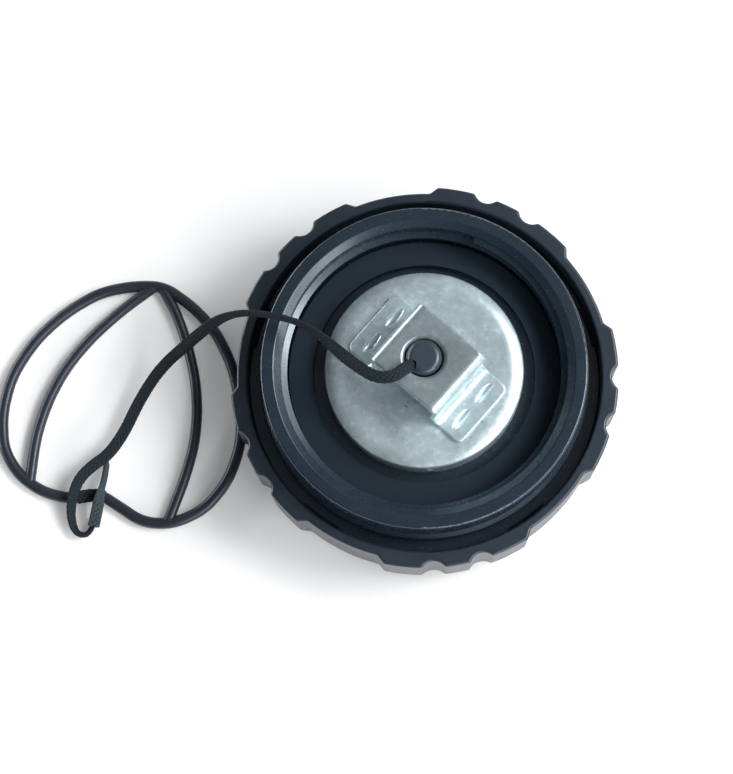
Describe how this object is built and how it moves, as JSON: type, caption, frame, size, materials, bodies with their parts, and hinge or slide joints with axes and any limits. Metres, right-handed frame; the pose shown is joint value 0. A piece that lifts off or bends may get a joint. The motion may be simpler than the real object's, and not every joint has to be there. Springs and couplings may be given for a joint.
{
  "type": "fuel filler cap",
  "caption": "Black screw-on fuel filler cap with a toothed grip, a vented zinc-plated retainer cup, and a braided tether that ends in an anchor hoop.",
  "frame": {"origin": "centre of the crown's outer face, on the surface that the cap rests on", "axes": "+Z along the cap's axis out of its threaded mouth, -X towards the tether's hoop"},
  "size_m": [0.1316, 0.0799, 0.0399],
  "materials": {
    "cover_plastic": "moulded satin black",
    "body_plastic": "moulded satin black",
    "gasket_rubber": "matt",
    "zinc_plate": "dull zinc plating",
    "button_plastic": "moulded",
    "screw_steel": "plated",
    "filter_foam": "open-cell foam",
    "cord_braid": "braided",
    "hoop_plastic": "moulded satin black"
  },
  "bodies": {
    "cap": {"cover": "cover_plastic", "threaded_body": "body_plastic", "neck_gasket": "gasket_rubber", "retainer_cup": "zinc_plate", "tether_bridge": "zinc_plate", "cup_screw": "screw_steel", "vent_spring": "screw_steel", "vent_filter": "filter_foam"},
    "vent": {"vent_plate": "zinc_plate", "vent_seal": "gasket_rubber"},
    "tether": {"tether_button": "button_plastic", "tether_cord": "cord_braid", "cord_tail": "cord_braid", "anchor_hoop": "hoop_plastic"}
  },
  "joints": [
    {"name": "tether_swivel", "type": "hinge", "parent": "cap", "child": "tether", "pos_m": [0, 0, 0.0367], "axis": [0, 0, 1], "continuous": true},
    {"name": "vent_lift", "type": "slide", "parent": "cap", "child": "vent", "axis": [0, 0, 1], "range_m": [0, 0.001], "stiffness_N_per_m": 150, "springref_m": -0.002, "deforming": ["vent_spring"]}
  ]
}
